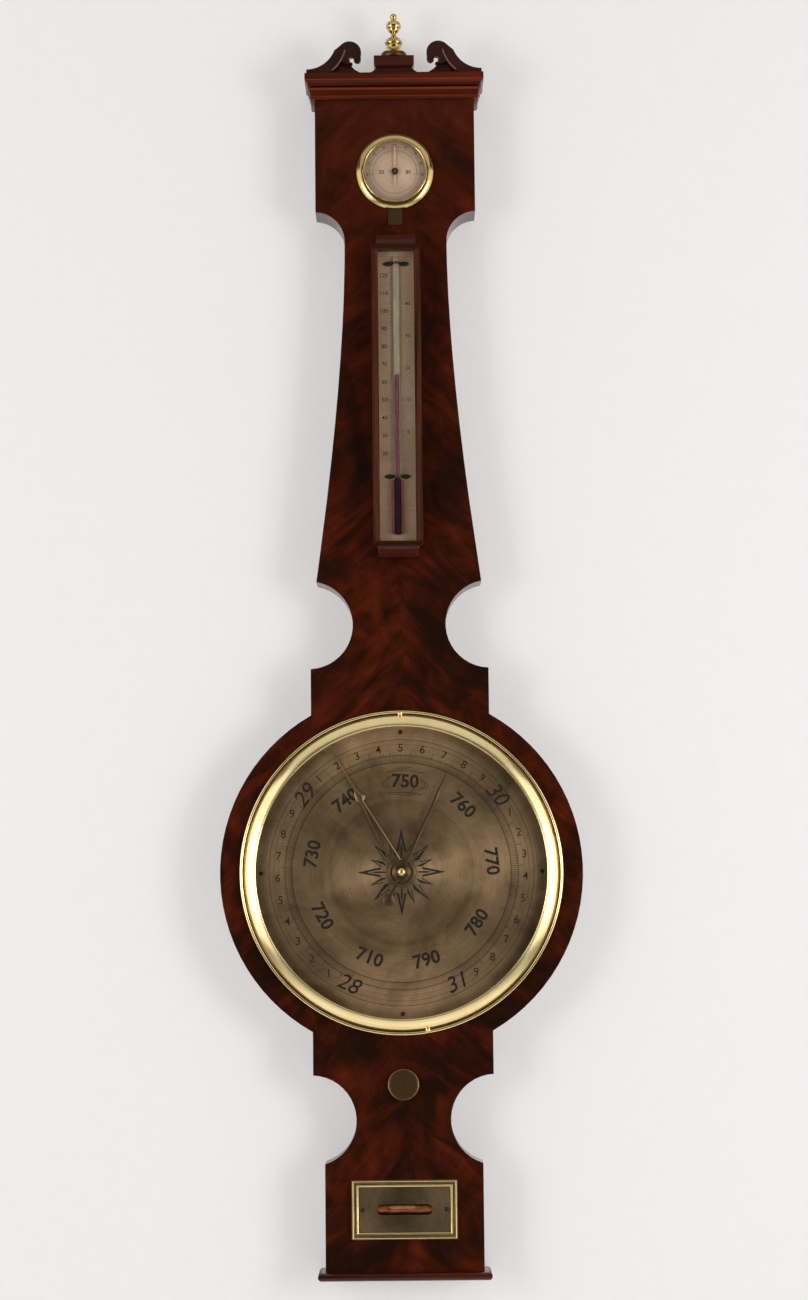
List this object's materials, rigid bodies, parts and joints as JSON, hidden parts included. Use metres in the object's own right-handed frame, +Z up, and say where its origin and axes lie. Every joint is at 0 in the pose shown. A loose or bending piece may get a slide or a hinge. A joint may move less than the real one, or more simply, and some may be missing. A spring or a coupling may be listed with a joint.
{
  "type": "banjo barometer",
  "caption": "Wall-hung banjo barometer in a mahogany case, with hygrometer, boxed thermometer, glazed weather dial with hands, set knob and spirit level.",
  "frame": {"origin": "centre of the hanging hole on the wall plane, at the back of the head", "axes": "+X to the right seen from the front, +Y into the wall, +Z up"},
  "size_m": [0.3058, 0.0512, 1.085],
  "materials": {
    "mahogany": "french polished",
    "flame_veneer": "french polished, flame figured",
    "pine": "bare, aged",
    "brass": "polished and lacquered",
    "aged_brass": "dull, aged",
    "silvered_brass": "silvered and tarnished, turned grain",
    "blued_steel": "blued",
    "clear_glass": "clear",
    "mercury": "liquid metal",
    "red_spirit": "dyed liquid",
    "amber_spirit": "dyed liquid",
    "cord": "twisted",
    "straw": "dry straw"
  },
  "bodies": {
    "case": {"case_carcass": "mahogany", "base_moulding": "mahogany", "cornice_front": "mahogany", "cornice_returns": "mahogany", "pediment_board": "mahogany", "swan_necks": "mahogany", "finial_plinth": "mahogany", "front_veneer": "flame_veneer", "tube_clamps": "pine", "finial": "brass", "main_bezel": "brass", "bezel_pins": "brass", "hygrometer_bezel": "brass", "level_frame": "brass", "hanging_plate": "aged_brass", "hanging_screws": "aged_brass", "arbor_bridge": "aged_brass", "case_bushes": "aged_brass", "hygrometer_cup": "aged_brass", "hinge_case_leaves": "aged_brass", "thermometer_studs": "aged_brass", "main_dial": "silvered_brass", "level_plate": "silvered_brass", "round_screws": "blued_steel", "hinge_pins": "blued_steel", "main_glass": "clear_glass", "hygrometer_glass": "clear_glass", "level_vial": "clear_glass", "siphon_tube": "clear_glass", "counter_guide": "clear_glass", "mercury": "mercury", "level_spirit": "amber_spirit", "gut_line": "cord"},
    "door": {"back_door": "pine", "hinge_door_leaves": "aged_brass"},
    "index": {"index_hand": "blued_steel", "index_arbor": "blued_steel", "float_pulley": "aged_brass", "centre_nut": "brass"},
    "marker": {"set_hand": "brass", "set_pipe": "aged_brass"},
    "knob": {"set_knob": "brass", "knob_arbor": "aged_brass"},
    "float": {"float_weight": "clear_glass", "float_thread": "cord"},
    "weight": {"counterweight": "aged_brass", "counter_thread": "cord"},
    "humidity_pointer": {"hygrometer_hand": "straw", "oat_beard": "straw"},
    "humidity_scale": {"hygrometer_dial": "silvered_brass", "hygrometer_tab": "aged_brass"},
    "thermometer": {"thermometer_back": "mahogany", "thermometer_stiles": "mahogany", "thermometer_caps": "mahogany", "thermometer_glass": "clear_glass", "thermometer_scale": "silvered_brass", "thermometer_tube": "clear_glass", "thermometer_spirit": "red_spirit", "thermometer_clips": "aged_brass"}
  },
  "joints": [
    {"name": "door_swing", "type": "hinge", "parent": "case", "child": "door", "pos_m": [-0.0324, -0.0025, -0.522], "axis": [0, 0, 1], "range_deg": [0, 110]},
    {"name": "index_turn", "type": "hinge", "parent": "case", "child": "index", "pos_m": [0, -0.034, -0.672], "axis": [0, 1, 0], "range_deg": [-179, 129]},
    {"name": "float_slide", "type": "slide", "parent": "case", "child": "float", "axis": [0, 0, 1], "range_m": [-0.0161, 0.0223], "deforming": ["float_thread", "mercury"]},
    {"name": "weight_slide", "type": "slide", "parent": "case", "child": "weight", "axis": [0, 0, 1], "range_m": [-0.0223, 0.0161], "deforming": ["counter_thread"]},
    {"name": "knob_turn", "type": "hinge", "parent": "case", "child": "knob", "pos_m": [0, -0.034, -0.849], "axis": [0, 1, 0], "continuous": true},
    {"name": "marker_turn", "type": "hinge", "parent": "case", "child": "marker", "pos_m": [0, -0.034, -0.672], "axis": [0, 1, 0], "continuous": true},
    {"name": "humidity_turn", "type": "hinge", "parent": "case", "child": "humidity_pointer", "pos_m": [0, -0.034, -0.068], "axis": [0, 1, 0], "range_deg": [-90, 90]},
    {"name": "humidity_set", "type": "hinge", "parent": "case", "child": "humidity_scale", "pos_m": [0, -0.034, -0.068], "axis": [0, 1, 0], "range_deg": [-12, 12]},
    {"name": "thermometer_lift", "type": "slide", "parent": "case", "child": "thermometer", "axis": [0, 0, 1], "range_m": [0, 0.0065]}
  ],
  "couplings": [
    {"joint": "float_slide", "follows": "index_turn", "m_per_rad": -0.0071},
    {"joint": "weight_slide", "follows": "index_turn", "m_per_rad": 0.0071},
    {"joint": "marker_turn", "follows": "knob_turn", "ratio": 1}
  ]
}
